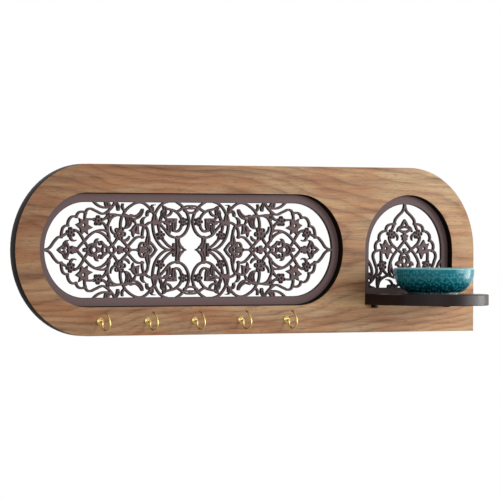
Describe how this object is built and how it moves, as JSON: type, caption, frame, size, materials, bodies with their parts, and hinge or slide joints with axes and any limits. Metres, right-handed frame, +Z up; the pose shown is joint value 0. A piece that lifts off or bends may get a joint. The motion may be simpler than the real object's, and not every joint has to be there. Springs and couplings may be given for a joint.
{
  "type": "wall key holder",
  "caption": "Wall key holder: veneered board with round-ended and arched windows, arabesque frets, brass cup hooks and a round-fronted shelf with a glazed bowl.",
  "frame": {"origin": "middle of the board's length and height on its back face, which lies on the wall", "axes": "+X to the right along the board, +Y into the wall, +Z up; the front of the board faces -Y"},
  "size_m": [0.6, 0.115, 0.18],
  "materials": {
    "board_veneer": "satin brown veneer with a horizontal grain and dark edges",
    "fret_wood": "matt dark grey-brown, laser-cut with near-black edges",
    "shelf_wood": "satin dark brown",
    "glazed_ceramic": "opaque turquoise glazed ceramic with a pale pattern",
    "brass": "bright plated",
    "steel": "zinc plated"
  },
  "bodies": {
    "root": {"board": "board_veneer", "fret_panel": "fret_wood", "arch_fret_panel": "fret_wood", "shelf": "shelf_wood", "bowl": "glazed_ceramic", "hook_1": "brass", "hook_cup_1": "brass", "hook_2": "brass", "hook_cup_2": "brass", "hook_3": "brass", "hook_cup_3": "brass", "hook_4": "brass", "hook_cup_4": "brass", "hook_5": "brass", "hook_cup_5": "brass", "shelf_pin_left": "steel", "shelf_screw_left": "steel", "hanger_left": "steel", "hanger_screw_left_left": "steel", "hanger_screw_left_right": "steel", "shelf_pin_right": "steel", "shelf_screw_right": "steel", "hanger_right": "steel", "hanger_screw_right_left": "steel", "hanger_screw_right_right": "steel"}
  },
  "joints": []
}
